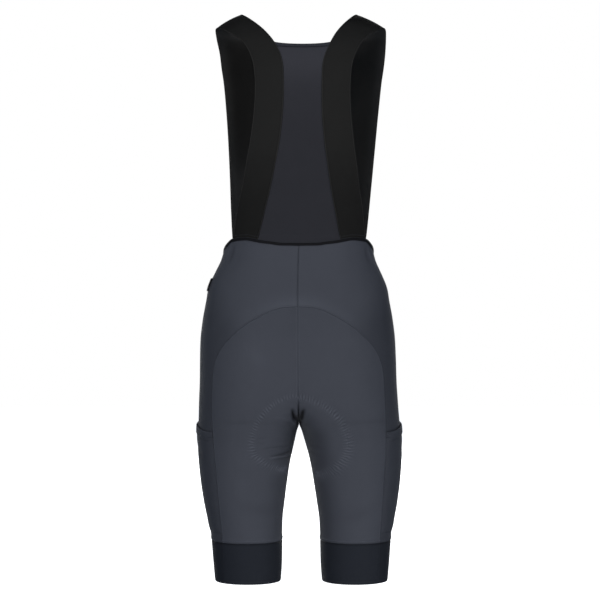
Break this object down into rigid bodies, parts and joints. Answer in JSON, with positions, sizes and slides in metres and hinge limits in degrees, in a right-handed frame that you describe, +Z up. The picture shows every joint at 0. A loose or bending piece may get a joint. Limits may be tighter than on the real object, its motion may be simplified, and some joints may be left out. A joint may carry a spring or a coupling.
{
  "type": "cycling bib shorts",
  "caption": "Close-fitting cycling bib shorts with wide elastic shoulder straps, a mesh back, leg grippers and cargo pockets on the thighs, in hollow worn form.",
  "frame": {"origin": "on the centre plane between the shoulders, level with the underside of the straps where they rest on them", "axes": "+Z up towards the shoulders, the garment faces -Y with its back at +Y, the wearer's left is at +X"},
  "size_m": [0.3291, 0.2222, 0.904],
  "materials": {
    "knit_grey_blue": "smooth matt stretch knit",
    "knit_side_dark": "smooth matt stretch knit, darker",
    "strap_elastic": "matt woven elastic",
    "back_net": "fine matt mesh knit",
    "gripper_elastic": "matt elastic leg band",
    "binding_black": "matt narrow elastic"
  },
  "bodies": {
    "root": {"side_panel_left": "knit_grey_blue", "side_panel_right": "knit_grey_blue", "seat_panel_left": "knit_grey_blue", "seat_panel_right": "knit_grey_blue", "front_panel_left": "knit_grey_blue", "front_panel_right": "knit_grey_blue", "gripper_left": "gripper_elastic", "gripper_right": "gripper_elastic", "gripper_side_left": "gripper_elastic", "gripper_side_right": "gripper_elastic", "cargo_pocket_left": "knit_side_dark", "cargo_pocket_right": "knit_side_dark", "waist_binding": "binding_black", "strap_left": "strap_elastic", "strap_right": "strap_elastic", "back_mesh": "back_net", "neck_binding": "binding_black", "hip_tab_left": "binding_black"}
  },
  "joints": []
}
